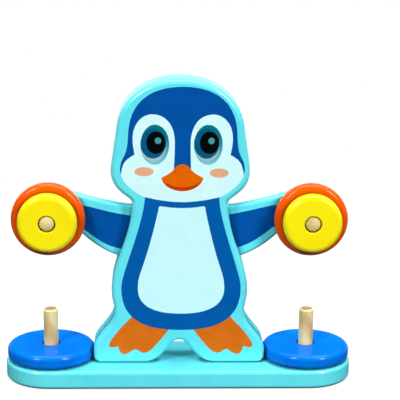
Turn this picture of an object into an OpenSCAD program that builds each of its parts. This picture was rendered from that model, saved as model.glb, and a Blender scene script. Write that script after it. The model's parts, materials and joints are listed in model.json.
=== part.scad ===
// Wooden penguin balance game.
// A stadium-shaped base board carries a penguin made of two cut-out panels with an open gap between them.
// One arm beam swings on a dowel in that gap. Rings hang on a peg at each hand and lie on a peg below it.
// Lengths are millimetres. X runs along the base board, -Y is the printed front and Z = 0 is the table.

/* [Base board] */
// Depth of the board, front to back, which also sets its round ends
base_depth = 62; // [60:1:76]
// Thickness of the board
base_thick = 13; // [12:0.5:18]
// Rounding of the board's edges
base_round = 2.5; // [1:0.5:4]

/* [Penguin outline, heights above the base board] */
// Height of the crown of the head
crown_h = 197.5; // [190:0.5:206]
// Width of the head at the temples
temple_w = 85.5; // [80:0.5:90]
// Height of the temples
temple_h = 165; // [160:1:170]
// Width of the head at the cheeks, its widest place
cheek_w = 93; // [90:0.5:98]
// Height of the cheeks
cheek_h = 138.5; // [134:0.5:142]
// Width of the neck
neck_w = 65; // [60:0.5:68]
// Height of the neck
neck_h = 113.5; // [110:0.5:117]
// Width of the belly, at its widest place
belly_w = 93; // [90.5:0.5:98]
// Height of the belly's widest place
belly_h = 52.5; // [48:0.5:56]
// Width of the waist above the legs
waist_w = 89.5; // [84:0.5:91]
// Height of the waist
waist_h = 37.5; // [35:0.5:40]
// Width over the legs
leg_w = 118; // [112:1:126]
// Height where the legs become upright
hip_h = 9; // [7:0.5:11]
// Radius of the outer corner of the foot
toe_r = 4.5; // [3:0.5:5.5]
// Width of the arch between the feet
arch_w = 50; // [40:1:56]
// Height of the arch between the feet
arch_h = 16; // [12:1:20]

/* [Panels] */
// Thickness of the front and the back panel
panel_t = 9; // [8:0.5:12]
// Rounding of the panels' outer edges
panel_round = 3.5; // [1:0.5:4]
// Bevel of the panels' edges that face the gap
inner_bevel = 0.4; // [0.2:0.1:0.8]
// Width of the gap between the panels
gap_t = 9; // [8:0.5:12]
// Height of the crown spacer that closes the top of the gap
crown_spacer_h = 28; // [24:1:34]
// Height of the leg spacers
leg_spacer_h = 30; // [27:1:31]
// How far the leg spacers lie inside the panels' outline
leg_spacer_inset = 1.5; // [1:0.25:3]
// Distance of the leg spacers' inner edges from the middle
leg_spacer_in = 15; // [12:1:20]

/* [Arm beam] */
// Height of the beam's pivot above the base board
pivot_h = 108; // [104:1:112]
// Diameter of the pivot dowel
pivot_d = 8; // [6:0.5:10]
// Height of the beam's hub above the pivot
hub_rise = 12; // [10:1:15]
// Height of the beam's top edge above the pivot, at the shoulders
shoulder_rise = 2; // [1:0.5:4]
// Depth of the beam's lower edge below the pivot, at the middle
beam_drop = 39; // [35:1:42]
// Height of the hand pegs below the pivot
hand_drop = 6; // [3:0.5:9]
// Radius of the round hands
hand_r = 20; // [18:0.5:22]
// Distance of the wrist from the middle of the hand, along the arm
wrist_back = 22.5; // [22:0.5:26]
// Depth of the wrist below the middle of the hand
wrist_drop = 12.5; // [11:0.5:14]
// Rounding of the beam's edges
beam_round = 2.5; // [1:0.5:3]

/* [Pegs] */
// Diameter of the pegs
peg_d = 10; // [8:0.5:12]
// Height of the standing pegs above the base board
standing_peg_h = 35; // [30:1:40]
// Depth of the standing pegs' holes in the base board
standing_peg_seat = 8; // [6:0.5:9]
// Depth of the hand pegs' holes in the beam
hand_peg_seat = 6; // [4:0.5:6]
// How far the hand pegs end below the outer ring's face
hand_peg_recess = 0; // [0:0.5:3]
// Height of the domed ends of the hand pegs
hand_peg_dome = 1.5; // [0.5:0.25:2.5]
// Bevel of the pegs' ends
peg_bevel = 1; // [0.5:0.25:2]

/* [Rings] */
// Thickness of every ring
ring_t = 10; // [8:0.5:12]
// Diameter of the blue rings on the base board
blue_ring_d = 60; // [54:1:62]
// Diameter of the orange rings on the hands
orange_ring_d = 50; // [46:1:54]
// Diameter of the yellow rings on the hands
yellow_ring_d = 40; // [36:1:44]
// Rounding of the rings' rims
ring_round = 3.5; // [1:0.5:4]
// Rounding of the mouths of the rings' holes
ring_mouth = 0.8; // [0.4:0.2:1.2]

/* [Fasteners] */
// Diameter of the glued dowels that join panels and spacers
dowel_d = 6; // [5:0.5:8]
// Depth of the dowels' holes in each panel
dowel_seat = 5; // [4:0.5:6]
// Distance between the two dowels in the crown
crown_dowel_pitch = 40; // [30:1:46]
// Distance of the crown dowels below the crown
crown_dowel_drop = 16; // [14:1:18]
// Height of the leg dowels above the base board
leg_dowel_h = 23; // [22:0.5:25]
// Diameter of the screws that hold the legs
screw_d = 4; // [3:0.5:5]
// Diameter of the screw heads
screw_head_d = 8; // [7:0.5:10]
// Distance between the two screws of a leg
screw_pitch = 14; // [12:1:18]
// Length of screw inside the leg spacer
screw_bite = 16; // [12:1:17]
// Depth of the screw heads below the underside
screw_sunk = 0.5; // [0.2:0.1:1]

/* [Clearances] */
// Radial clearance of the beam on its dowel
pivot_play = 0.05; // [0.02:0.01:0.1]
// Clearance of the beam to each panel
arm_play = 0.5; // [0.3:0.1:1]
// Difference between the rings' holes and the pegs, in diameter
ring_play = 1.5; // [1:0.1:2]
// Least gap between a hanging ring and its peg
hang_gap = 0.3; // [0.2:0.05:0.4]
// Gap between the legs and the blue rings
ring_room = 0.35; // [0.3:0.05:2]
// Radial clearance of glued pegs, dowels and screws in their holes
glue_play = 0.05; // [0.02:0.01:0.1]
// Depth left below the ends of glued pegs and dowels
glue_room = 0.2; // [0.1:0.1:0.5]

/* [Hidden] */
$fn = 64;

lacquer_cyan = "#68E7F3";
ring_blue = "#0A86F0";
ring_orange = "#F26A0A";
ring_yellow = "#FBEA14";
bare_wood = "#E3CB93";
zinc = "#C9CCCF";

// Steps of a rounded edge
round_steps = 5;
// Small overlap that lets a cut pass a face
past = 1;

// Faces of the layers, front to back
gap_front = -gap_t / 2;
gap_back = gap_t / 2;
body_front = gap_front - panel_t;
body_back = gap_back + panel_t;
beam_t = gap_t - 2 * arm_play;
beam_front = -beam_t / 2;
beam_back = beam_t / 2;

// The blue ring's rim passes the panels' inner edges, so that is where its room is set
rim_reach = sqrt(pow(blue_ring_d / 2, 2) - pow(gap_t / 2, 2));
peg_x = leg_w / 2 + ring_room + rim_reach;
ring_bore = peg_d + ring_play;
ring_hang = ring_play / 2 - hang_gap;
hand_peg_len = 2 * ring_t - hand_peg_recess;

// Middle of a leg, where its fasteners are
leg_x = (arch_w + leg_w) / 4;
screw_head_h = (screw_head_d - screw_d) / 2;

SIDES = [-1, 1];

// Outline helpers

// Point of a cubic curve
function cubic(a, b, c, d, t) =
  pow(1 - t, 3) * a + 3 * pow(1 - t, 2) * t * b + 3 * (1 - t) * t * t * c + pow(t, 3) * d;

// Unit vector at an angle in degrees
function heading(angle) = [cos(angle), sin(angle)];

// Points of a smooth edge from p to q, without q. It leaves and arrives at the two angles,
// and the two shares say how far it keeps to them, as parts of the straight distance
function edge(p, leave, leave_share, q, arrive, arrive_share, steps) =
  let (reach = norm(q - p))
  [for (i = [0:steps - 1])
    cubic(p, p + leave_share * reach * heading(leave), q - arrive_share * reach * heading(arrive), q, i / steps)];

// Points of an arc between two angles, both ends included
function arc(centre, r, from, to, steps) =
  [for (i = [0:steps]) centre + r * heading(from + (to - from) * i / steps)];

// Whole outline from a right half that starts and ends on the middle line
function mirrored(half) =
  concat(half, [for (i = [len(half) - 2:-1:1]) [-half[i][0], half[i][1]]]);

// Inward direction at each point of a clockwise outline. It turns level towards the sole,
// so that a rounded edge runs out where the foot stands flat
function inward(points, fade) =
  let (n = len(points))
  [for (i = [0:n - 1])
    let (along = points[(i + 1) % n] - points[(i + n - 1) % n])
    let (side = [along[1], -along[0]] / norm(along))
    let (share = fade > 0 ? min(1, max(0, points[i][1]) / fade) : 1)
    [side[0], side[1] * share]];

// Outline moved inwards
function inset(points, amount, fade) =
  let (side = inward(points, fade))
  [for (i = [0:len(points) - 1]) points[i] + amount * side[i]];

// Pairs of depth and inset along a rounded edge, from the face to the full outline
function round_edge(face, r, towards) =
  [for (i = [0:round_steps])
    let (a = 90 * i / round_steps)
    [face + towards * r * (1 - cos(a)), r * (1 - sin(a))]];

function reversed(list) = [for (i = [len(list) - 1:-1:0]) list[i]];

// Outlines, right half first

crown = [0, crown_h];
temple = [temple_w / 2, temple_h];
cheek = [cheek_w / 2, cheek_h];
neck = [neck_w / 2, neck_h];
belly = [belly_w / 2, belly_h];
waist = [waist_w / 2, waist_h];
hip = [leg_w / 2, hip_h];
arch_foot = [arch_w / 2, 0];
arch_top = [0, arch_h];
// Headings of the outline at the temples and at the cheeks
temple_heading = -83;
cheek_heading = -84;

body_half = concat(
  edge(crown, 0, 0.48, temple, temple_heading, 0.33, 12),
  edge(temple, temple_heading, 0.3, cheek, cheek_heading, 0.3, 4),
  edge(cheek, cheek_heading, 0.63, neck, -90, 0.17, 11),
  edge(neck, -90, 0.4, belly, -90, 0.29, 10),
  edge(belly, -90, 0.56, waist, -90, 0.35, 4),
  edge(waist, -90, 0.4, hip, -90, 0.29, 9),
  arc([leg_w / 2 - toe_r, toe_r], toe_r, 0, -90, 5),
  edge(arch_foot, 180, 0.54, arch_top, 180, 0.27, 10),
  [arch_top]
);
body_outline = mirrored(body_half);

hub_top = [0, pivot_h + hub_rise];
shoulder = [neck_w / 2 + 4, pivot_h + shoulder_rise];
hand_h = pivot_h - hand_drop;
hand = [peg_x, hand_h];
// Angles on the round hand where the arm's top edge and the wrist meet it
hand_from = 104;
hand_to = -145;
// Heading of the lower edge at the wrist, on its way to the middle
wrist_heading = 224;
wrist = hand - [wrist_back, wrist_drop];
beam_low = [0, pivot_h - beam_drop];

beam_half = concat(
  edge(hub_top, 0, 0.45, shoulder, 7, 0.4, 7),
  edge(shoulder, 7, 0.3, hand + hand_r * heading(hand_from), hand_from - 90, 0.3, 4),
  arc(hand, hand_r, hand_from, hand_to + 12, 19),
  edge(hand + hand_r * heading(hand_to), hand_to - 90, 0.45, wrist, wrist_heading, 0.45, 5),
  edge(wrist, wrist_heading, 0.42, beam_low, 180, 0.35, 9),
  [beam_low]
);
beam_outline = mirrored(beam_half);

// Shape helpers

// Twice the area of a triangle, below zero when it runs clockwise
function turn(a, b, c) = (b[0] - a[0]) * (c[1] - a[1]) - (b[1] - a[1]) * (c[0] - a[0]);

// Whether the corner at place i of a clockwise loop can be cut off, with no other point inside the cut
function is_ear(points, loop, i) =
  let (n = len(loop))
  let (a = points[loop[(i + n - 1) % n]], b = points[loop[i]], c = points[loop[(i + 1) % n]])
  let (inside = [for (k = [2:n - 2])
    let (p = points[loop[(i + k) % n]])
    if (turn(a, b, p) <= 0 && turn(b, c, p) <= 0 && turn(c, a, p) <= 0) p])
  turn(a, b, c) < 0 && len(inside) == 0;

// Place of the first corner that can be cut off
function first_ear(points, loop, i) = is_ear(points, loop, i) ? i : first_ear(points, loop, i + 1);

// Triangles that fill a clockwise loop of point numbers, cut off one corner at a time
function filled(points, loop) =
  len(loop) == 3 ? [loop] :
  let (n = len(loop), i = first_ear(points, loop, 0))
  concat(
    [[loop[(i + n - 1) % n], loop[i], loop[(i + 1) % n]]],
    filled(points, [for (k = [2:n]) loop[(i + (k < n ? k : 1)) % n]])
  );

// Plate with shaped edges: layers are pairs of depth and inset, front to back
module shaped_plate(points, layers, fade) {
  n = len(points);
  last = len(layers) - 1;
  outlines = [for (l = layers) inset(points, l[1], fade)];
  corners = [for (k = [0:last], p = outlines[k]) [p[0], layers[k][0], p[1] + base_thick]];
  loop = [for (i = [0:n - 1]) i];
  front = filled(outlines[0], loop);
  back = [for (t = filled(outlines[last], loop)) [for (i = reversed(t)) last * n + i]];
  walls = [for (k = [0:last - 1], i = [0:n - 1])
    let (a = k * n + i, b = k * n + (i + 1) % n)
    each [[a, a + n, b], [b, a + n, b + n]]];
  polyhedron(corners, concat(front, walls, back), convexity = 6);
}

// Flat plate of an outline between two depths
module flat_plate(points, front, back) {
  translate([0, back, base_thick])
    rotate([90, 0, 0])
      linear_extrude(back - front)
        polygon(points);
}

// Round bar or hole along Y between two depths
module bar_y(d, x, h, front, back) {
  translate([x, back, base_thick + h])
    rotate([90, 0, 0])
      cylinder(d = d, h = back - front);
}

// Dowel with bevelled ends, standing on the origin
module turned_peg(d, length, bevel) {
  rotate_extrude()
    polygon([
      [0, 0], [d / 2 - bevel, 0], [d / 2, bevel],
      [d / 2, length - bevel], [d / 2 - bevel, length], [0, length]
    ]);
}

// Dowel with a bevelled foot and a domed end, standing on the origin
module domed_peg(d, length, bevel, dome) {
  ball_r = (pow(d / 2, 2) + pow(dome, 2)) / (2 * dome);
  dome_angle = asin(d / 2 / ball_r);
  rotate_extrude()
    polygon(concat(
      [[0, 0], [d / 2 - bevel, 0], [d / 2, bevel], [d / 2, length - dome]],
      [for (i = [1:round_steps])
        let (a = dome_angle * (1 - i / round_steps))
        [ball_r * sin(a), length - ball_r * (1 - cos(a))]]
    ));
}

// Rounded side of a profile that ends at x, facing outwards (1) or inwards (-1)
module rounded_side(x, facing, r, height) {
  middle = x - facing * r;
  translate([min(x, middle), r])
    square([r, height - 2 * r]);
  for (y = [r, height - r])
    translate([middle, y])
      circle(r);
}

// Half section of the base board
module base_section() {
  square([base_depth / 2 - base_round, base_thick]);
  rounded_side(base_depth / 2, 1, base_round, base_thick);
}

// Ring lying on the origin
module ring(d) {
  inner = ring_bore / 2 + ring_mouth;
  rotate_extrude() {
    translate([inner, 0])
      square([d / 2 - ring_round - inner, ring_t]);
    rounded_side(ring_bore / 2, -1, ring_mouth, ring_t);
    rounded_side(d / 2, 1, ring_round, ring_t);
  }
}

// Places of the leg screws along X, left to right
screw_x = [for (s = SIDES, k = [-0.5, 0.5]) s * leg_x + k * screw_pitch];

// Holes for the glued dowels, and the pivot dowel, in a panel's inner face
module panel_seats(inner, towards) {
  seat = dowel_seat + glue_room;
  front = towards > 0 ? inner - past : inner - seat;
  back = towards > 0 ? inner + seat : inner + past;
  for (s = SIDES) {
    bar_y(dowel_d + 2 * glue_play, s * crown_dowel_pitch / 2, crown_h - crown_dowel_drop, front, back);
    bar_y(dowel_d + 2 * glue_play, s * leg_x, leg_dowel_h, front, back);
  }
  bar_y(pivot_d + 2 * glue_play, 0, pivot_h, front, back);
}

// Pieces

module base_board() {
  color(lacquer_cyan)
  difference() {
    for (s = [0, 1])
      mirror([s, 0, 0]) {
        rotate([90, 0, 90])
          linear_extrude(peg_x)
            for (half = [0, 1])
              mirror([half, 0])
                base_section();
        translate([peg_x, 0, 0])
          rotate([0, 0, -90])
            rotate_extrude(angle = 180)
              base_section();
      }
    for (s = SIDES)
      translate([s * peg_x, 0, base_thick - standing_peg_seat - glue_room])
        cylinder(d = peg_d + 2 * glue_play, h = standing_peg_seat + glue_room + past);
    for (x = screw_x)
      translate([x, 0, 0]) {
        translate([0, 0, -past])
          cylinder(d = screw_d + 2 * glue_play, h = base_thick + 2 * past);
        translate([0, 0, -past])
          cylinder(d = screw_head_d + 2 * glue_play, h = past + screw_sunk);
        translate([0, 0, screw_sunk])
          cylinder(d1 = screw_head_d + 2 * glue_play, d2 = screw_d + 2 * glue_play, h = screw_head_h);
      }
  }
}

module front_panel() {
  layers = concat(
    round_edge(body_front, panel_round, 1),
    [[gap_front - inner_bevel, 0], [gap_front, inner_bevel]]
  );
  color(lacquer_cyan)
  difference() {
    shaped_plate(body_outline, layers, toe_r);
    panel_seats(gap_front, -1);
  }
}

module back_panel() {
  layers = concat(
    [[gap_back, inner_bevel], [gap_back + inner_bevel, 0]],
    reversed(round_edge(body_back, panel_round, -1))
  );
  color(lacquer_cyan)
  difference() {
    shaped_plate(body_outline, layers, toe_r);
    panel_seats(gap_back, 1);
  }
}

module crown_spacer() {
  color(lacquer_cyan)
  difference() {
    intersection() {
      flat_plate(body_outline, gap_front, gap_back);
      translate([-cheek_w, gap_front - past, base_thick + crown_h - crown_spacer_h])
        cube([2 * cheek_w, gap_t + 2 * past, crown_spacer_h + past]);
    }
    for (s = SIDES)
      bar_y(
        dowel_d + 2 * glue_play, s * crown_dowel_pitch / 2, crown_h - crown_dowel_drop,
        gap_front - past, gap_back + past
      );
  }
}

module leg_spacer(side) {
  color(lacquer_cyan)
  difference() {
    intersection() {
      flat_plate(inset(body_outline, leg_spacer_inset, toe_r), gap_front, gap_back);
      translate([side > 0 ? leg_spacer_in : -leg_w, gap_front - past, base_thick])
        cube([leg_w - leg_spacer_in, gap_t + 2 * past, leg_spacer_h]);
    }
    bar_y(dowel_d + 2 * glue_play, side * leg_x, leg_dowel_h, gap_front - past, gap_back + past);
    for (k = [-0.5, 0.5])
      translate([side * leg_x + k * screw_pitch, 0, base_thick - past])
        cylinder(d = screw_d + 2 * glue_play, h = past + screw_bite + glue_room);
  }
}

module left_leg_spacer() { leg_spacer(-1); }
module right_leg_spacer() { leg_spacer(1); }

module cross_dowel(d, x, h, seat) {
  translate([x, gap_back + seat, base_thick + h])
    rotate([90, 0, 0])
      turned_peg(d, gap_t + 2 * seat, peg_bevel / 2);
}

module crown_dowel(side) {
  color(bare_wood)
  cross_dowel(dowel_d, side * crown_dowel_pitch / 2, crown_h - crown_dowel_drop, dowel_seat);
}

module left_crown_dowel() { crown_dowel(-1); }
module right_crown_dowel() { crown_dowel(1); }

module leg_dowel(side) {
  color(bare_wood)
  cross_dowel(dowel_d, side * leg_x, leg_dowel_h, dowel_seat);
}

module left_leg_dowel() { leg_dowel(-1); }
module right_leg_dowel() { leg_dowel(1); }

module pivot_dowel() {
  color(bare_wood)
  cross_dowel(pivot_d, 0, pivot_h, dowel_seat);
}

// Countersunk screw with a cross recess, head down
module base_screw(place) {
  length = base_thick - screw_sunk + screw_bite;
  tip = screw_d / 2;
  slot_w = screw_d / 5;
  slot_l = screw_head_d * 0.55;
  slot_h = screw_head_h * 0.8;
  color(zinc)
  translate([screw_x[place], 0, screw_sunk])
  difference() {
    rotate_extrude()
      polygon([
        [0, 0], [screw_head_d / 2, 0], [screw_d / 2, screw_head_h],
        [screw_d / 2, length - tip], [0, length]
      ]);
    for (turn = [0, 90])
      rotate([0, 0, turn])
        translate([-slot_l / 2, -slot_w / 2, -past])
          cube([slot_l, slot_w, past + slot_h]);
  }
}

module left_outer_screw() { base_screw(0); }
module left_inner_screw() { base_screw(1); }
module right_inner_screw() { base_screw(2); }
module right_outer_screw() { base_screw(3); }

module arm_beam() {
  layers = concat(
    round_edge(beam_front, beam_round, 1),
    reversed(round_edge(beam_back, beam_round, -1))
  );
  color(lacquer_cyan)
  difference() {
    shaped_plate(beam_outline, layers, 0);
    bar_y(pivot_d + 2 * pivot_play, 0, pivot_h, beam_front - past, beam_back + past);
    for (s = SIDES)
      bar_y(
        peg_d + 2 * glue_play, s * peg_x, hand_h,
        beam_front - past, beam_front + hand_peg_seat + glue_room
      );
  }
}

module hand_peg(side) {
  color(bare_wood)
  translate([side * peg_x, beam_front + hand_peg_seat, base_thick + hand_h])
    rotate([90, 0, 0])
      domed_peg(peg_d, hand_peg_seat + hand_peg_len, peg_bevel, hand_peg_dome);
}

module left_hand_peg() { hand_peg(-1); }
module right_hand_peg() { hand_peg(1); }

module base_peg(side) {
  color(bare_wood)
  translate([side * peg_x, 0, base_thick - standing_peg_seat])
    turned_peg(peg_d, standing_peg_seat + standing_peg_h, peg_bevel);
}

module left_base_peg() { base_peg(-1); }
module right_base_peg() { base_peg(1); }

module blue_ring(side) {
  color(ring_blue)
  translate([side * peg_x, 0, base_thick])
    ring(blue_ring_d);
}

module left_blue_ring() { blue_ring(-1); }
module right_blue_ring() { blue_ring(1); }

// Ring on a hand peg: place 0 lies against the hand and place 1 in front of it
module hand_ring(side, d, place) {
  translate([side * peg_x, beam_front - place * ring_t, base_thick + hand_h - ring_hang])
    rotate([90, 0, 0])
      ring(d);
}

module left_orange_ring() { color(ring_orange) hand_ring(-1, orange_ring_d, 0); }
module right_orange_ring() { color(ring_orange) hand_ring(1, orange_ring_d, 0); }
module left_yellow_ring() { color(ring_yellow) hand_ring(-1, yellow_ring_d, 1); }
module right_yellow_ring() { color(ring_yellow) hand_ring(1, yellow_ring_d, 1); }

base_board();
front_panel();
back_panel();
crown_spacer();
left_leg_spacer();
right_leg_spacer();
left_crown_dowel();
right_crown_dowel();
left_leg_dowel();
right_leg_dowel();
left_outer_screw();
left_inner_screw();
right_inner_screw();
right_outer_screw();
pivot_dowel();
arm_beam();
left_hand_peg();
right_hand_peg();
left_base_peg();
right_base_peg();
left_blue_ring();
right_blue_ring();
left_orange_ring();
right_orange_ring();
left_yellow_ring();
right_yellow_ring();
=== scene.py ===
"""Looks of the wooden penguin balance game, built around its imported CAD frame.

The cut-out boards are lofted again with smooth edges, and the printed penguin is cut into their front
faces as areas of ink. Rings, pegs, base board and fasteners keep their CAD shape.
Outlines are in millimetres, seen from the front: x to the right, h upwards from the top of the base board.
"""

import json
import math

import bmesh
import bpy
import numpy as np
from mathutils import Matrix, Vector
from mathutils.geometry import delaunay_2d_cdt


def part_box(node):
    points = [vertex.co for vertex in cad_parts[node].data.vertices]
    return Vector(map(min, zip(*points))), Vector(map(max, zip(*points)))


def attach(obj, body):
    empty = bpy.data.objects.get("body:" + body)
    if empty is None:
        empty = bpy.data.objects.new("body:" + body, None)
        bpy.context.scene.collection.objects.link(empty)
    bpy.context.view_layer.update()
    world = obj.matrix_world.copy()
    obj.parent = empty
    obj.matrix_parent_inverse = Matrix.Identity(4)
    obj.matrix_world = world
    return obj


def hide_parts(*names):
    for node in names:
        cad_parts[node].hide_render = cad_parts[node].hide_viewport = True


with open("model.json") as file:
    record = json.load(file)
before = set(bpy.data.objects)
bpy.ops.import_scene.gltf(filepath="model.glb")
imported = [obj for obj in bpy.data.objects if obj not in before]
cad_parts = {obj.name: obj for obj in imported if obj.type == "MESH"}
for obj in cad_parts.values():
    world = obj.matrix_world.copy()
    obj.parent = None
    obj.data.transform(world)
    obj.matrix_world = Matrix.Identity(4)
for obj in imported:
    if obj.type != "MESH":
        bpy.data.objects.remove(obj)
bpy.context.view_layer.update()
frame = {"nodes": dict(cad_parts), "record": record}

MM = 0.001

# Places taken from the frame, in millimetres


def span(node, axis):
    """Lowest and highest place of a CAD node along an axis, in millimetres."""
    low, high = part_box(node)
    return low[axis] / MM, high[axis] / MM


def middle(node, axis):
    """Middle of a CAD node along an axis, in millimetres."""
    return sum(span(node, axis)) / 2


X, Y, Z = range(3)
board_top = span("base_board", Z)[1]
front_face, gap_front = span("front_panel", Y)
gap_back, back_face = span("back_panel", Y)
beam_front, beam_back = span("arm_beam", Y)
crown_h = span("front_panel", Z)[1] - board_top
leg_w = 2 * span("front_panel", X)[1]
pivot_h = middle("pivot_dowel", Z) - board_top
hand = np.array([middle("right_hand_peg", X), middle("right_hand_peg", Z) - board_top])

# Sizes of the cut-out boards, in millimetres
temple = np.array([42.75, 165])
cheek = np.array([46.5, 138.5])
neck = np.array([32.5, 113.5])
belly = np.array([46.5, 52.5])
waist = np.array([44.75, 37.5])
hip = np.array([leg_w / 2, 9])
toe_r = 4.5
arch_foot = np.array([25, 0])
arch_top = np.array([0, 16])
panel_round = 3.5
inner_bevel = 0.4
hub_rise = 12
shoulder_out = 4
shoulder_rise = 2
beam_drop = 39
hand_r = 20
wrist_from_hand = np.array([-22.5, -12.5])
beam_round = 2.5

# Headings along the outlines, in degrees
RIGHT, DOWN, LEFT = 0, -90, 180
temple_heading = -83
cheek_heading = -84
shoulder_heading = 7
wrist_heading = 224

# Angles at which the round of the hand starts and ends, in degrees
hand_from, hand_to = 104, -145

# Outline helpers


def heading(angle):
    """Unit vector at an angle in degrees."""
    return np.array([math.cos(math.radians(angle)), math.sin(math.radians(angle))])


def edge(p, leave, leave_share, q, arrive, arrive_share, steps):
    """Points of a smooth edge from p to q, without q, that leaves and arrives at the two angles.

    The shares of its length say how far it keeps to each of the two headings.
    """
    p, q = np.array(p, float), np.array(q, float)
    reach = np.linalg.norm(q - p)
    b = p + leave_share * reach * heading(leave)
    c = q - arrive_share * reach * heading(arrive)
    t = np.arange(steps)[:, None] / steps
    return (1 - t) ** 3 * p + 3 * (1 - t) ** 2 * t * b + 3 * (1 - t) * t**2 * c + t**3 * q


def arc(centre, r, start, end, steps):
    """Points of an arc between two angles, both ends included."""
    angles = np.radians(np.linspace(start, end, steps + 1))
    return np.array(centre) + r * np.stack([np.cos(angles), np.sin(angles)], axis=1)


def ellipse(centre, half_w, half_h, steps=48):
    """Points of a closed ellipse."""
    angles = np.arange(steps) * 2 * math.pi / steps
    return np.array(centre) + np.stack([half_w * np.cos(angles), half_h * np.sin(angles)], axis=1)


def through(points, steps=8):
    """Points of a smooth line through a few given ones, both ends included."""
    p = np.array(points, float)
    p = np.vstack([2 * p[0] - p[1], p, 2 * p[-1] - p[-2]])
    t = np.arange(steps)[:, None] / steps
    parts = []
    for a, b, c, d in zip(p, p[1:], p[2:], p[3:]):
        bend = (2 * a - 5 * b + 4 * c - d) * t**2 + (3 * b - a - 3 * c + d) * t**3
        parts.append(b + (bend + (c - a) * t) / 2)
    return np.vstack(parts + [p[-2:-1]])


def mirrored(half):
    """Whole outline from a right half that starts and ends on the middle line."""
    return np.vstack([half, half[-2:0:-1] * [-1, 1]])


# Share of the edge rounding that is left at the soles, where the panels stand on the base board
SOLE_SHARE = 0.3


def inset(outline, amount, fade=0):
    """Clockwise outline moved inwards. Below the height fade it rises ever less, as at the flat soles."""
    along = np.roll(outline, -1, axis=0) - np.roll(outline, 1, axis=0)
    side = np.stack([along[:, 1], -along[:, 0]], axis=1)
    side /= np.linalg.norm(side, axis=1, keepdims=True)
    if fade:
        side[:, 1] *= np.clip(outline[:, 1] / fade, SOLE_SHARE, 1)
    return outline + amount * side


def inside(points, loop):
    """Which points lie inside a closed loop."""
    x, h = points[:, :1], points[:, 1:]
    a, b = loop, np.roll(loop, -1, axis=0)
    spans = (a[:, 1] > h) != (b[:, 1] > h)
    rise = np.where(a[:, 1] == b[:, 1], 1, b[:, 1] - a[:, 1])
    crossing = a[:, 0] + (h - a[:, 1]) / rise * (b[:, 0] - a[:, 0])
    return (spans & (x < crossing)).sum(axis=1) % 2 == 1


# Outlines of the boards, clockwise from the top

crown = np.array([0, crown_h])
penguin = mirrored(np.vstack([
    edge(crown, RIGHT, 0.48, temple, temple_heading, 0.33, 40),
    edge(temple, temple_heading, 0.3, cheek, cheek_heading, 0.3, 16),
    edge(cheek, cheek_heading, 0.63, neck, DOWN, 0.17, 32),
    edge(neck, DOWN, 0.4, belly, DOWN, 0.29, 32),
    edge(belly, DOWN, 0.56, waist, DOWN, 0.35, 10),
    edge(waist, DOWN, 0.4, hip, DOWN, 0.29, 24),
    arc(hip * [1, 0] + [-toe_r, toe_r], toe_r, 0, -90, 12),
    edge(arch_foot, LEFT, 0.54, arch_top, LEFT, 0.27, 32),
    [arch_top],
]))

hub_top = np.array([0, pivot_h + hub_rise])
shoulder = np.array([neck[0] + shoulder_out, pivot_h + shoulder_rise])
hand_start = hand + hand_r * heading(hand_from)
hand_end = hand + hand_r * heading(hand_to)
# The arc of the hand stops about one step short of its end, where the next edge begins
hand_step = 4
wrist = hand + wrist_from_hand
beam_low = np.array([0, pivot_h - beam_drop])
arms = mirrored(np.vstack([
    edge(hub_top, RIGHT, 0.45, shoulder, shoulder_heading, 0.4, 20),
    edge(shoulder, shoulder_heading, 0.3, hand_start, hand_from - 90, 0.3, 12),
    arc(hand, hand_r, hand_from, hand_to + hand_step, 64),
    edge(hand_end, hand_to - 90, 0.45, wrist, wrist_heading, 0.45, 14),
    edge(wrist, wrist_heading, 0.42, beam_low, LEFT, 0.35, 28),
    [beam_low],
]))

# Colours and surface helpers


def linear(colour):
    """Linear red, green, blue and alpha of an sRGB hex colour."""
    shares = [int(colour[i:i + 2], 16) / 255 for i in (1, 3, 5)]
    return [s / 12.92 if s <= 0.04045 else ((s + 0.055) / 1.055) ** 2.4 for s in shares] + [1]


def add(tree, kind, inputs=None, **settings):
    """Adds a node with its settings. An input is a value, or the output of another node to link."""
    node = tree.nodes.new(kind)
    for name, value in settings.items():
        setattr(node, name, value)
    for key, value in (inputs or {}).items():
        if isinstance(value, bpy.types.NodeSocket):
            tree.links.new(value, node.inputs[key])
        else:
            node.inputs[key].default_value = value
    return node


def per_metre(size_mm):
    """Scale of a pattern whose features are about that many millimetres wide."""
    return 1 / (size_mm * MM)


# A Mix node has sockets of the same name for colours and for numbers, so they go by their place
MIX_FACTOR = 0
COLOUR_A, COLOUR_B, COLOUR_RESULT = 6, 7, 2
NUMBER_A, NUMBER_B, NUMBER_RESULT = 2, 3, 0

# Nearly all values of a noise texture lie between these two
NOISE_LOW, NOISE_HIGH = 0.3, 0.7

ACRYLIC_IOR = 1.49


def new_material(name):
    """Empty node material and its tree."""
    material = bpy.data.materials.new(name)
    material.use_nodes = True
    material.node_tree.nodes.clear()
    return material, material.node_tree


def film(tree, place, colour, roughness, specular, peel_mm, peel_depth_mm, coat=0.0):
    """Acrylic film of a colour, with gloss that is uneven in patches of 4 mm and a faint orange peel."""
    haze = add(tree, "ShaderNodeTexNoise", {"Vector": place, "Scale": per_metre(4), "Detail": 2.0})
    gloss = add(tree, "ShaderNodeMapRange", {
        "Value": haze.outputs["Fac"], "From Min": NOISE_LOW, "From Max": NOISE_HIGH,
        "To Min": roughness * 0.85, "To Max": roughness * 1.15,
    })
    peel = add(tree, "ShaderNodeTexNoise", {"Vector": place, "Scale": per_metre(peel_mm), "Detail": 1.0})
    bump = add(tree, "ShaderNodeBump", {
        "Height": peel.outputs["Fac"], "Strength": 0.6, "Distance": peel_depth_mm * MM,
    })
    shader = add(tree, "ShaderNodeBsdfPrincipled", {
        "Base Color": colour,
        "Roughness": gloss.outputs["Result"],
        "Normal": bump.outputs["Normal"],
        "IOR": ACRYLIC_IOR,
        "Specular IOR Level": specular,
        "Coat Weight": coat,
        "Coat Roughness": roughness,
    })
    add(tree, "ShaderNodeOutputMaterial", {"Surface": shader.outputs["BSDF"]})


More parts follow.
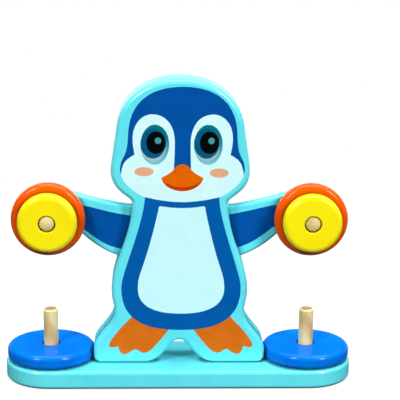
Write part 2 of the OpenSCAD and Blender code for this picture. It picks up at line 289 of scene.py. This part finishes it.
def coated(name, colour, shade, drift_mm, **surface):
    """Film that drifts slowly between two tones, with painted shade that darkens it in the corners between
    pieces.

    The painted shade leaves an open surface its colour, and also one that is covered all over, where two
    pieces touch.
    """
    material, tree = new_material(name)
    place = add(tree, "ShaderNodeTexCoord").outputs["Object"]
    drift = add(tree, "ShaderNodeTexNoise", {"Vector": place, "Scale": per_metre(drift_mm), "Detail": 3.0})
    tone = add(tree, "ShaderNodeMapRange", {
        "Value": drift.outputs["Fac"], "From Min": NOISE_LOW, "From Max": NOISE_HIGH,
    })
    mixed = add(tree, "ShaderNodeMix", {
        MIX_FACTOR: tone.outputs["Result"], COLOUR_A: linear(shade), COLOUR_B: linear(colour),
    }, data_type="RGBA")
    # Painted shade: ambient occlusion within a few millimetres darkens the colour towards grey in corners
    # and where pieces meet
    corner_reach = 4
    openness = add(tree, "ShaderNodeAmbientOcclusion", {"Distance": corner_reach * MM}, samples=8)
    light = add(tree, "ShaderNodeValToRGB", {"Fac": openness.outputs["AO"]})
    light.color_ramp.elements[0].position = 0.05
    light.color_ramp.elements[0].color = linear("#FFFFFF")
    light.color_ramp.elements.new(0.35).color = linear("#969696")
    light.color_ramp.elements[2].position = 0.8
    corner_shaded = add(tree, "ShaderNodeMix", {
        MIX_FACTOR: 1.0, COLOUR_A: mixed.outputs[COLOUR_RESULT], COLOUR_B: light.outputs["Color"],
    }, data_type="RGBA", blend_type="MULTIPLY")
    film(tree, place, corner_shaded.outputs[COLOUR_RESULT], **surface)
    return material


# Materials


def sprayed_lacquer(name, colour, shade, specular, coat=0.0):
    """Acrylic lacquer, sprayed in two coats on sanded wood: even and glossy, with a fine orange peel."""
    return coated(
        name, colour, shade, drift_mm=22,
        roughness=0.15, specular=specular, peel_mm=1.1, peel_depth_mm=0.008, coat=coat,
    )


cyan_lacquer = sprayed_lacquer("cyan_acrylic_lacquer_sprayed", "#68E9F5", "#5EE2EF", specular=0.7)
blue_lacquer = sprayed_lacquer("blue_acrylic_lacquer_sprayed", "#0077E2", "#006ED8", specular=0.0, coat=0.35)
orange_lacquer = sprayed_lacquer("orange_acrylic_lacquer_sprayed", "#EE5A00", "#E65200", specular=0.24)
yellow_lacquer = sprayed_lacquer("yellow_acrylic_lacquer_sprayed", "#FEF010", "#FAE70A", specular=0.4)

# The weave that a screen leaves in its ink is about 0.1 mm wide, and is drawn coarser so that it shows
INK_SURFACE = {"roughness": 0.4, "specular": 0.08, "peel_mm": 0.8, "peel_depth_mm": 0.01}


def printed_ink(name, colour, shade):
    """Screen ink, pulled over the lacquer: a thinner film, flatter in gloss, that follows the coat below."""
    return coated(name, colour, shade, drift_mm=9, **INK_SURFACE)


def faded_ink(name, upper, lower, low_h, high_h):
    """Screen ink printed as a fade: its upper tone runs out evenly into a lower one between two heights."""
    material, tree = new_material(name)
    place = add(tree, "ShaderNodeTexCoord").outputs["Object"]
    height = add(tree, "ShaderNodeSeparateXYZ", {"Vector": place}).outputs["Z"]
    share = add(tree, "ShaderNodeMapRange", {
        "Value": height,
        "From Min": (board_top + low_h) * MM,
        "From Max": (board_top + high_h) * MM,
    })
    mixed = add(tree, "ShaderNodeMix", {
        MIX_FACTOR: share.outputs["Result"], COLOUR_A: linear(lower), COLOUR_B: linear(upper),
    }, data_type="RGBA")
    film(tree, place, mixed.outputs[COLOUR_RESULT], **INK_SURFACE)
    return material


# Height of the eyes' middle and half the height of an eye, in millimetres
eye_h = 154.5
eye_half_h = 13.7
fade_end = eye_h + 4

INKS = {
    "hood": printed_ink("blue_screen_ink", "#0053A4", "#004D9C"),
    "coat": printed_ink("light_blue_screen_ink", "#005DAB", "#0057A3"),
    "face": printed_ink("pale_screen_ink", "#D5FBFC", "#CEF7FA"),
    "belly": printed_ink("light_cyan_screen_ink", "#CCFAFD", "#C5F7FB"),
    "foot": printed_ink("brown_orange_screen_ink", "#DC6F18", "#D36712"),
    "blush": printed_ink("peach_screen_ink", "#E5AF8B", "#DEA681"),
    "beak": printed_ink("orange_screen_ink", "#E66A00", "#DE6200"),
    "lip": printed_ink("red_orange_screen_ink", "#CC3806", "#C23202"),
    "nostril": printed_ink("dark_orange_screen_ink", "#CC3400", "#C02E00"),
    "eye_rim": faded_ink("teal_fade_screen_ink", "#007288", "#6CC8D4", eye_h - eye_half_h, fade_end),
    "eye_white": printed_ink("grey_white_screen_ink", "#A9C4C9", "#9DBAC0"),
    "iris": printed_ink("sea_blue_screen_ink", "#005C86", "#00547C"),
    "pupil": printed_ink("black_screen_ink", "#050808", "#020404"),
    "glint": printed_ink("pale_teal_screen_ink", "#449DA8", "#3B939E"),
}

# Width of one diagonal band of the wave texture at a scale of 1
WAVE_BAND = 2 * math.pi / (10 * math.sqrt(3))


def sanded_dowel(name, turn, end_tone):
    """Beech dowel, turned and sanded, left bare: pale, dull, with short darker flecks along the grain.

    The end grain is darker, most of all where it was left as sawn. The turn brings the dowel's length to Z.
    """
    material, tree = new_material(name)
    place = add(tree, "ShaderNodeTexCoord")
    turned = add(tree, "ShaderNodeMapping", {"Vector": place.outputs["Object"], "Rotation": turn})
    # Real fibres are finer than a tenth of a millimetre, and are drawn wider so that they show
    fibre_w, fibre_l = 0.5, 9
    stretched = add(tree, "ShaderNodeMapping", {
        "Vector": turned.outputs["Vector"],
        "Scale": (per_metre(fibre_w), per_metre(fibre_w), per_metre(fibre_l)),
    })
    fibres = add(tree, "ShaderNodeTexNoise", {
        "Vector": stretched.outputs["Vector"], "Scale": 1.0, "Detail": 4.0, "Roughness": 0.6,
    })
    # Growth rings run out along the dowel at a slant, as broad bands
    band_w = 17.4
    bands = add(tree, "ShaderNodeTexWave", {
        "Vector": turned.outputs["Vector"], "Scale": WAVE_BAND * per_metre(band_w), "Distortion": 2.0,
        "Detail": 2.0, "Detail Scale": 1.5,
    }, bands_direction="DIAGONAL")
    figure = add(tree, "ShaderNodeMix", {
        MIX_FACTOR: 0.35, NUMBER_A: fibres.outputs["Fac"], NUMBER_B: bands.outputs["Fac"],
    }, data_type="FLOAT")
    colour = add(tree, "ShaderNodeValToRGB", {"Fac": figure.outputs[NUMBER_RESULT]})
    colour.color_ramp.elements[0].position = 0.3
    colour.color_ramp.elements[0].color = linear("#CFAA68")
    colour.color_ramp.elements[1].position = 0.62
    colour.color_ramp.elements[1].color = linear("#F0DDA4")
    facing = add(tree, "ShaderNodeMapping", {"Vector": place.outputs["Normal"], "Rotation": turn})
    along = add(tree, "ShaderNodeSeparateXYZ", {"Vector": facing.outputs["Vector"]})
    endwise = add(tree, "ShaderNodeMath", {0: along.outputs["Z"]}, operation="ABSOLUTE")
    end = add(tree, "ShaderNodeMapRange", {
        "Value": endwise.outputs["Value"], "From Min": 0.74, "From Max": 0.86,
    })
    toned = add(tree, "ShaderNodeMix", {
        MIX_FACTOR: end.outputs["Result"], COLOUR_A: colour.outputs["Color"], COLOUR_B: linear(end_tone),
    }, data_type="RGBA", blend_type="MULTIPLY")
    bump = add(tree, "ShaderNodeBump", {
        "Height": fibres.outputs["Fac"], "Strength": 0.5, "Distance": 0.06 * MM,
    })
    shader = add(tree, "ShaderNodeBsdfPrincipled", {
        "Base Color": toned.outputs[COLOUR_RESULT],
        "Roughness": 0.62,
        "Normal": bump.outputs["Normal"],
        "IOR": 1.45,
    })
    add(tree, "ShaderNodeOutputMaterial", {"Surface": shader.outputs["BSDF"]})
    return material


upright_dowel = sanded_dowel("beech_dowel_sanded_sawn_end", (0, 0, 0), "#B4A596")
level_dowel = sanded_dowel("beech_dowel_sanded_turned_end", (math.pi / 2, 0, 0), "#F6F4E0")


def plated_screw():
    """Steel screw, zinc plated: silvery grey with a faint blue cast and scratches from the drum.

    Real scratches are finer than a tenth of a millimetre, and are drawn 0.4 mm wide so that they show.
    """
    material, tree = new_material("zinc_plated_steel")
    place = add(tree, "ShaderNodeTexCoord").outputs["Object"]
    scratch = add(tree, "ShaderNodeTexNoise", {"Vector": place, "Scale": per_metre(0.4), "Detail": 5.0})
    dull = add(tree, "ShaderNodeMapRange", {
        "Value": scratch.outputs["Fac"], "From Min": NOISE_LOW, "From Max": NOISE_HIGH,
        "To Min": 0.25, "To Max": 0.45,
    })
    tint = add(tree, "ShaderNodeMix", {
        MIX_FACTOR: scratch.outputs["Fac"], COLOUR_A: linear("#B9BEC4"), COLOUR_B: linear("#D3D6D8"),
    }, data_type="RGBA")
    shader = add(tree, "ShaderNodeBsdfPrincipled", {
        "Base Color": tint.outputs[COLOUR_RESULT], "Metallic": 1.0, "Roughness": dull.outputs["Result"],
    })
    add(tree, "ShaderNodeOutputMaterial", {"Surface": shader.outputs["BSDF"]})
    return material


zinc_screw = plated_screw()

# Shape helpers

# Edges that turn by more than this stay sharp
SHARP_ANGLE = math.radians(35)
# Points that lie nearer than this are one, in millimetres: in a flat face, and where surfaces meet
FLAT_WELD = 1e-4
WELD = 0.002
# Number by which Blender's triangulation is told to return every triangle
ALL_TRIANGLES = 0


def shade_smooth(mesh):
    """Shades a mesh smooth, apart from its sharp edges."""
    mesh.polygons.foreach_set("use_smooth", [True] * len(mesh.polygons))
    mesh.set_sharp_from_angle(angle=SHARP_ANGLE)


class Shell:
    """Points, faces and inks of one piece, gathered in millimetres before they become a mesh."""

    def __init__(self):
        self.points = []
        self.faces = []
        self.inks = []

    def add_points(self, outline, depth):
        """Adds an outline at a depth and returns the numbers of its points."""
        first = len(self.points)
        self.points.extend((x, depth, h + board_top) for x, h in outline)
        return list(range(first, len(self.points)))

    def loft(self, rows):
        """Joins outlines with as many points each, given as pairs of depth and outline, front to back."""
        numbers = [self.add_points(outline, depth) for depth, outline in rows]
        for near, far in zip(numbers, numbers[1:]):
            for i in range(len(near)):
                j = (i + 1) % len(near)
                self.faces.append((near[i], near[j], far[j], far[i]))
                self.inks.append(0)

    def fill(self, outline, depth, faces_front, prints=(), bores=()):
        """Fills a flat face, cut along the prints' outlines and left open at the bores."""
        points, edges = [], []
        for loop in [outline, *bores, *[loop for ink, loop in prints]]:
            first, count = len(points), len(loop)
            points.extend(Vector(p) for p in loop)
            edges.extend((first + i, first + (i + 1) % count) for i in range(count))
        made = delaunay_2d_cdt(points, edges, [], ALL_TRIANGLES, FLAT_WELD)
        places = np.array(made[0])
        triangles = np.array(made[2])
        middles = places[triangles].mean(axis=1)
        kept = inside(middles, outline)
        for bore in bores:
            kept &= ~inside(middles, bore)
        inks = np.zeros(len(triangles), int)
        for ink, loop in prints:
            inks[inside(middles, loop)] = ink
        numbers = self.add_points(places, depth)
        for triangle, ink in zip(triangles[kept], inks[kept]):
            face = [numbers[i] for i in triangle]
            self.faces.append(face if faces_front else face[::-1])
            self.inks.append(int(ink))

    def bore(self, loop, start, end, closed):
        """Wall of a bore between two depths, and its floor at the end if it is closed."""
        rim = loop if start < end else loop[::-1]
        self.loft([(start, rim), (end, rim)])
        if closed:
            self.fill(loop, end, faces_front=start < end)

    def piece(self, name, materials, body, node):
        """Makes the mesh, with smooth rounded edges, and sets it on its body in place of the CAD node."""
        mesh = bpy.data.meshes.new(name)
        mesh.from_pydata([[c * MM for c in p] for p in self.points], [], self.faces)
        for material in materials:
            mesh.materials.append(material)
        mesh.polygons.foreach_set("material_index", self.inks)
        joined = bmesh.new()
        joined.from_mesh(mesh)
        bmesh.ops.remove_doubles(joined, verts=joined.verts, dist=WELD * MM)
        # Where a print runs off the flat face, its edge leaves a sliver open beside the rounding
        open_edges = [e for e in joined.edges if e.is_boundary]
        bmesh.ops.holes_fill(joined, edges=open_edges, sides=3)
        joined.to_mesh(mesh)
        joined.free()
        shade_smooth(mesh)
        made = bpy.data.objects.new(name, mesh)
        bpy.context.scene.collection.objects.link(made)
        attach(made, body)
        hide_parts(node)


ROUND_STEPS = 10
# The flat face starts a little way up the rounding, and a narrow rim inside it keeps its shading flat
ROUND_START = 12
FLAT_RIM = 0.25


def rounded(face, r, inwards):
    """Pairs of depth and inset along a rounded edge, from the flat face to the full outline."""
    rows = []
    for angle in np.linspace(ROUND_START, 90, ROUND_STEPS):
        a = math.radians(angle)
        rows.append((face + inwards * r * (1 - math.cos(a)), r * (1 - math.sin(a))))
    return [(rows[0][0], rows[0][1] + FLAT_RIM)] + rows


def bevelled(face, size, inwards):
    """Pairs of depth and inset along a small bevel, from the flat face to the full outline."""
    return [(face, size), (face + inwards * size, 0)]


def board(
    name, outline, front, back, fade, body,
    prints=(), front_bores=(), back_bores=(), through_bores=(),
):
    """Cut-out board from its outline and the shapes of its front and back edges.

    Prints are pairs of ink and outline, later ones over earlier ones. Bores are pairs of outline and depth,
    or outlines alone where they run through.
    """
    shell = Shell()
    rows = [(depth, inset(outline, amount, fade)) for depth, amount in front + back[::-1]]
    shell.loft(rows)
    inks = list(dict.fromkeys(ink for ink, loop in prints))
    numbered = [(inks.index(ink) + 1, loop) for ink, loop in prints]
    front_depth, front_outline = rows[0]
    back_depth, back_outline = rows[-1]
    front_loops = [loop for loop, depth in front_bores] + list(through_bores)
    back_loops = [loop for loop, depth in back_bores] + list(through_bores)
    shell.fill(front_outline, front_depth, True, numbered, front_loops)
    shell.fill(back_outline, back_depth, False, (), back_loops)
    for loop, depth in front_bores:
        shell.bore(loop, front_depth, front_depth + depth, True)
    for loop, depth in back_bores:
        shell.bore(loop, back_depth, back_depth - depth, True)
    for loop in through_bores:
        shell.bore(loop, front_depth, back_depth, False)
    shell.piece(name + "_board", [cyan_lacquer] + [INKS[ink] for ink in inks], body, name)


def hole(node, play):
    """Round outline of the hole for a dowel or peg that lies along Y."""
    low, high = span(node, X)
    r = (high - low) / 2 + play
    return ellipse((middle(node, X), middle(node, Z) - board_top), r, r)


# The printed penguin, in millimetres from the figure's own middle line

# How the figure sits on the panel: its scale, its moves up and to the right, and its lean to the right
print_scale = 0.9945
print_rise = 0.22
print_shift = 0.83
print_lean = 0.0033
# The eyes sit a little further left than the rest, and the feet further right
gaze_shift = -0.75
foot_shift = 0.3


def placed(outline, shift=0.0):
    """Printed outline moved to where the figure sits on the panel."""
    outline = np.array(outline, float)
    sideways = print_shift + shift + print_lean * outline[:, 1]
    return outline * print_scale + np.stack([sideways, np.full(len(outline), print_rise)], axis=1)


def both_sides(half, shift=0.0):
    """The same printed outline on the right and on the left."""
    half = np.array(half, float)
    return [placed(half, shift), placed(half * [-1, 1], shift)]


hood_top = (0, 193.65)
cap_side = (36.5, 161.4)
cap_low = (41.7, 139.6)
tip = (41.3, 133.4)
hood = mirrored(np.vstack([
    edge(hood_top, RIGHT, 0.4, cap_side, -88, 0.49, 36),
    edge(cap_side, -88, 0.75, cap_low, -83, 0.34, 20),
    edge(cap_low, -83, 0.51, tip, -99, 0.67, 8),
    [tip, (0, tip[1])],
]))

brow = (5.8, 137.8)
patch_in = (5.3, 155.8)
patch_top = (20.5, 175.1)
patch_out = (33.5, 158)
notch = (32.2, 147.7)
jaw = (25.3, 118.5)
chin = (0, 115)
face = mirrored(np.vstack([
    [(0, brow[1])],
    edge(brow, 93, 0.4, patch_in, 90, 0.4, 10),
    edge(patch_in, 90, 0.43, patch_top, RIGHT, 0.41, 24),
    edge(patch_top, RIGHT, 0.3, patch_out, -91, 0.51, 24),
    edge(patch_out, -91, 0.4, notch, -99, 0.4, 10),
    edge(notch, -30, 0.43, tip, -84, 0.5, 18),
    edge(tip, -108, 0.38, jaw, -166, 0.12, 24),
    edge(jaw, -166, 0.28, chin, LEFT, 0.37, 16),
    [chin],
]))

# The coat's top lies under the face
coat_top = 122
coat_neck = (25.1, 118.6)
coat_wide = (41, 54.6)
coat_low = (0, 23.7)
coat = mirrored(np.vstack([
    [(0, coat_top), (coat_neck[0], coat_top)],
    edge(coat_neck, -88, 0.29, coat_wide, -89, 0.16, 30),
    edge(coat_wide, -89, 0.54, coat_low, LEFT, 0.35, 36),
    [coat_low],
]))

bib_top = (0, 110.9)
bib_corner = np.array([14.6, 110.9])
bib_corner_r = 1.2
bib_side = (15.9, 109.6)
bib_wide = (29.6, 52.9)
bib_low = (0, 35.6)
bib = mirrored(np.vstack([
    edge(bib_top, RIGHT, 0.4, bib_corner + [0, bib_corner_r], 8, 0.4, 10),
    arc(bib_corner, bib_corner_r, 90, 15, 6),
    edge(bib_side, -78, 0.78, bib_wide, -92, 0.22, 30),
    edge(bib_wide, -92, 0.44, bib_low, LEFT, 0.34, 30),
    [bib_low],
]))

# The foot's top lies under the coat, and its three toes are drawn through listed points
foot_top = [(8.5, 23.9), (8.5, 31), (30, 36), (34.1, 33.3)]
foot_toes = [
    (38, 29.1), (42.5, 24.2), (48.1, 16.6), (49.8, 12.8), (48.4, 11), (45.8, 11.2), (43.6, 11.7),
    (42.7, 9), (41.1, 6.6), (38.6, 6), (35.5, 7.4), (32.3, 9.4), (29.9, 9), (27.3, 7.3),
    (24.4, 7.1), (20.3, 9.4), (14.7, 15.7),
]
foot = np.vstack([foot_top, through(foot_toes)])

beak_top = (0, 141.2)
beak_side = (6.6, 136.7)
beak_tip_top = (13, 132.5)
beak_tip_low = (13.9, 130.6)
beak_bottom = (0, 122.6)
beak_low = np.vstack([edge(beak_tip_low, -112, 0.36, beak_bottom, LEFT, 0.36, 20), [beak_bottom]])
beak = mirrored(np.vstack([
    edge(beak_top, RIGHT, 0.45, beak_side, -44, 0.3, 12),
    edge(beak_side, -44, 0.4, beak_tip_top, -24, 0.35, 12),
    edge(beak_tip_top, -24, 0.5, beak_tip_low, -112, 0.5, 8),
    beak_low,
]))
lip_middle = (0, 125.4)
lip_end = (13.7, 130.1)
lip = mirrored(np.vstack([edge(lip_middle, RIGHT, 0.35, lip_end, 40, 0.35, 20), beak_low]))
nostril = ellipse((4.4, 135.4), 0.55, 0.55, 12)

blush_centres = [(-25.8, 136), (24.7, 135.2)]
blush_half_w, blush_half_h = 6.4, 3.15

# Parts of an eye from the rim inwards: ink, place from the eye's middle, half width, half height, points
eye_out = 17.9
EYE_PARTS = [
    ("eye_rim", (0, 0), 9.6, eye_half_h, 48),
    ("eye_white", (-0.9, -1.1), 8.2, 10.6, 48),
    ("iris", (-1.1, 0.75), 8.5, 10.2, 48),
    ("pupil", (0.75, 1.4), 6.45, 7.65, 48),
    ("glint", (2.1, 2.7), 2.15, 2.25, 24),
]

# The prints in the order in which they lie over each other
prints = [("foot", loop) for loop in both_sides(foot, foot_shift)]
prints += [("coat", placed(coat)), ("belly", placed(bib)), ("hood", placed(hood)), ("face", placed(face))]
prints += [("blush", placed(ellipse(centre, blush_half_w, blush_half_h))) for centre in blush_centres]
for eye_x in (-eye_out, eye_out):
    for ink, (right, up), half_w, half_h, steps in EYE_PARTS:
        loop = ellipse((eye_x + right, eye_h + up), half_w, half_h, steps)
        prints.append((ink, placed(loop, gaze_shift)))
prints += [("beak", placed(beak)), ("lip", placed(lip))]
prints += [("nostril", loop) for loop in both_sides(nostril)]


def wing(upper, end, end_r, lower):
    """Printed right wing from its upper edge, its round end and its lower edge."""
    return np.vstack([through(upper), arc(end, end_r, 80, -50, 12), through(lower)])


right_wing = wing(
    [(22, 102), (34, 103.7), (48, 106.6), (61.4, 109.8), (70, 111)], (70, 104), 7,
    [(64.7, 95.4), (58, 90.2), (49.8, 84.5), (40.2, 80.4), (28, 78.2)],
)
left_wing = wing(
    [(22, 101.2), (34, 102.7), (48, 105.4), (61.4, 108.8), (70, 110)], (70, 102), 8,
    [(64.7, 92.6), (58, 87.5), (49.8, 82.3), (40.2, 79.2), (28, 77.6)],
) * [-1, 1]

# Boards

glue_play = 0.05
pivot_play = 0.05
dowel_seat = 5.2
peg_seat = 6.2
panel_seats = [
    (hole(node, glue_play), dowel_seat)
    for node in ("left_crown_dowel", "right_crown_dowel", "left_leg_dowel", "right_leg_dowel", "pivot_dowel")
]
board(
    "front_panel", penguin, rounded(front_face, panel_round, 1), bevelled(gap_front, inner_bevel, -1),
    toe_r, "stand", prints=prints, back_bores=panel_seats,
)
board(
    "back_panel", penguin, bevelled(gap_back, inner_bevel, 1), rounded(back_face, panel_round, -1),
    toe_r, "stand", front_bores=panel_seats,
)
board(
    "arm_beam", arms, rounded(beam_front, beam_round, 1), rounded(beam_back, beam_round, -1),
    0, "arms", prints=[("hood", right_wing), ("hood", left_wing)],
    front_bores=[(hole(side + "_hand_peg", glue_play), peg_seat) for side in ("left", "right")],
    through_bores=[hole("pivot_dowel", pivot_play)],
)

# Finishes of the CAD nodes that stay

FINISHES = {
    "cyan_lacquer": cyan_lacquer,
    "blue_lacquer": blue_lacquer,
    "orange_lacquer": orange_lacquer,
    "yellow_lacquer": yellow_lacquer,
    "zinc_screw": zinc_screw,
}
for subpart in frame["record"]["subparts"]:
    name, slot = subpart["node"], subpart["material_slot"]
    finish = FINISHES.get(slot, upright_dowel if name.endswith("base_peg") else level_dowel)
    mesh = frame["nodes"][name].data
    mesh.materials.clear()
    mesh.materials.append(finish)
    shade_smooth(mesh)

# Floor, light and camera, in metres


def studio_floor():
    """Pale matt sheet under the object, lit brighter behind it.

    It looks near white to the camera, keeps a soft shadow, and shows its bright part in glossy edges.
    To other rays it is grey, so that little light comes back up from it.
    """
    material, tree = new_material("white_paper_floor")
    path = add(tree, "ShaderNodeLightPath")
    place = add(tree, "ShaderNodeTexCoord").outputs["Object"]
    away = add(tree, "ShaderNodeVectorMath", {0: place}, operation="LENGTH")
    bleached = add(tree, "ShaderNodeMapRange", {
        "Value": away.outputs["Value"], "From Min": 0.2, "From Max": 0.6, "To Min": 0.7, "To Max": 1.0,
    })
    seen = add(tree, "ShaderNodeMath", {
        0: path.outputs["Is Camera Ray"], 1: bleached.outputs["Result"],
    }, operation="MULTIPLY")
    depth = add(tree, "ShaderNodeSeparateXYZ", {"Vector": place}).outputs["Y"]
    behind = add(tree, "ShaderNodeMapRange", {"Value": depth, "From Min": 0.55, "From Max": 0.85})
    reflected = add(tree, "ShaderNodeMath", {
        0: path.outputs["Is Glossy Ray"], 1: behind.outputs["Result"],
    }, operation="MULTIPLY")
    share = add(tree, "ShaderNodeMath", {
        0: seen.outputs["Value"], 1: reflected.outputs["Value"],
    }, operation="MAXIMUM")
    tone = add(tree, "ShaderNodeMix", {
        MIX_FACTOR: path.outputs["Is Camera Ray"], COLOUR_A: linear("#3C3C3C"), COLOUR_B: linear("#F4F4F4"),
    }, data_type="RGBA")
    paper = add(tree, "ShaderNodeBsdfDiffuse", {"Color": tone.outputs[COLOUR_RESULT]})
    white = add(tree, "ShaderNodeEmission", {"Color": linear("#FFFFFF"), "Strength": 1.0})
    mixed = add(tree, "ShaderNodeMixShader", {
        0: share.outputs["Value"], 1: paper.outputs["BSDF"], 2: white.outputs["Emission"],
    })
    add(tree, "ShaderNodeOutputMaterial", {"Surface": mixed.outputs["Shader"]})
    reach = 12
    mesh = bpy.data.meshes.new("studio_floor")
    corners = [(-reach, -reach, 0), (reach, -reach, 0), (reach, reach, 0), (-reach, reach, 0)]
    mesh.from_pydata(corners, [], [(0, 1, 2, 3)])
    mesh.materials.append(material)
    floor = bpy.data.objects.new("studio_floor", mesh)
    bpy.context.scene.collection.objects.link(floor)


def studio_world():
    """Studio with dim walls, a bright ceiling and a lit backdrop low behind the object.

    The camera sees plain white. Glossy rays see the studio itself: the metal here is under the base board,
    there is no glass, and the lacquer would lose its colour in a white all round.
    """
    world = bpy.data.worlds.new("studio_world")
    bpy.context.scene.world = world
    world.use_nodes = True
    tree = world.node_tree
    tree.nodes.clear()
    direction = add(tree, "ShaderNodeTexCoord").outputs["Generated"]
    part = add(tree, "ShaderNodeSeparateXYZ", {"Vector": direction})
    walls, ceiling = 0.02, 0.3
    above = add(tree, "ShaderNodeMapRange", {
        "Value": part.outputs["Z"], "From Min": 0.42, "From Max": 0.7, "To Min": walls, "To Max": ceiling,
    })
    low = add(tree, "ShaderNodeMapRange", {
        "Value": part.outputs["Z"], "From Min": 0.14, "From Max": 0.3, "To Min": 1.0, "To Max": 0.0,
    })
    behind = add(tree, "ShaderNodeMapRange", {"Value": part.outputs["Y"], "From Min": 0.4, "From Max": 0.8})
    backdrop = add(tree, "ShaderNodeMath", {
        0: low.outputs["Result"], 1: behind.outputs["Result"],
    }, operation="MULTIPLY")
    level = add(tree, "ShaderNodeMath", {
        0: above.outputs["Result"], 1: backdrop.outputs["Value"],
    }, operation="MAXIMUM")
    path = add(tree, "ShaderNodeLightPath")
    strength = add(tree, "ShaderNodeMath", {
        0: level.outputs["Value"], 1: path.outputs["Is Camera Ray"],
    }, operation="MAXIMUM")
    white = add(tree, "ShaderNodeBackground", {
        "Color": linear("#FFFFFF"), "Strength": strength.outputs["Value"],
    })
    add(tree, "ShaderNodeOutputWorld", {"Surface": white.outputs["Background"]})


def softbox(name, direction, width, height, watts):
    """Softbox in a direction from the middle of the object, aimed at it."""
    light = bpy.data.lights.new(name, "AREA")
    light.shape = "RECTANGLE"
    light.size = width
    light.size_y = height
    light.energy = watts
    lamp = bpy.data.objects.new(name, light)
    aim = Vector((0, 0, 0.1))
    distance = 4.4
    lamp.location = aim + Vector(direction).normalized() * distance
    lamp.rotation_mode = "QUATERNION"
    lamp.rotation_quaternion = (aim - lamp.location).to_track_quat("-Z", "Y")
    bpy.context.scene.collection.objects.link(lamp)


def photo_camera():
    """Camera at the photograph's angle."""
    place = Vector((-19.9, -880, 348.2)) * MM
    pitch, yaw, roll = math.radians(14.18), math.radians(2.19), math.radians(0.66)
    focal_px, image_px = 1331.5, 400
    ahead = Vector((math.sin(yaw) * math.cos(pitch), math.cos(yaw) * math.cos(pitch), -math.sin(pitch)))
    level = Vector((math.cos(yaw), -math.sin(yaw), 0))
    upright = level.cross(ahead)
    right = math.cos(roll) * level + math.sin(roll) * upright
    up = math.cos(roll) * upright - math.sin(roll) * level
    lens = bpy.data.cameras.new("photo_camera")
    lens.sensor_fit = "HORIZONTAL"
    lens.sensor_width = 36
    lens.lens = focal_px / image_px * lens.sensor_width
    camera = bpy.data.objects.new("photo_camera", lens)
    camera.matrix_world = Matrix.Translation(place) @ Matrix((right, up, -ahead)).transposed().to_4x4()
    bpy.context.scene.collection.objects.link(camera)
    bpy.context.scene.camera = camera


studio_floor()
studio_world()
softbox("left_softbox", (-0.513, -0.612, 0.602), width=0.8, height=2.0, watts=136)
softbox("right_softbox", (0.591, -0.656, 0.469), width=0.8, height=2.0, watts=136)
softbox("top_softbox", (0.1, 0.15, 0.98), width=5.0, height=3.0, watts=235)
photo_camera()
bpy.context.scene.view_settings.view_transform = "Standard"
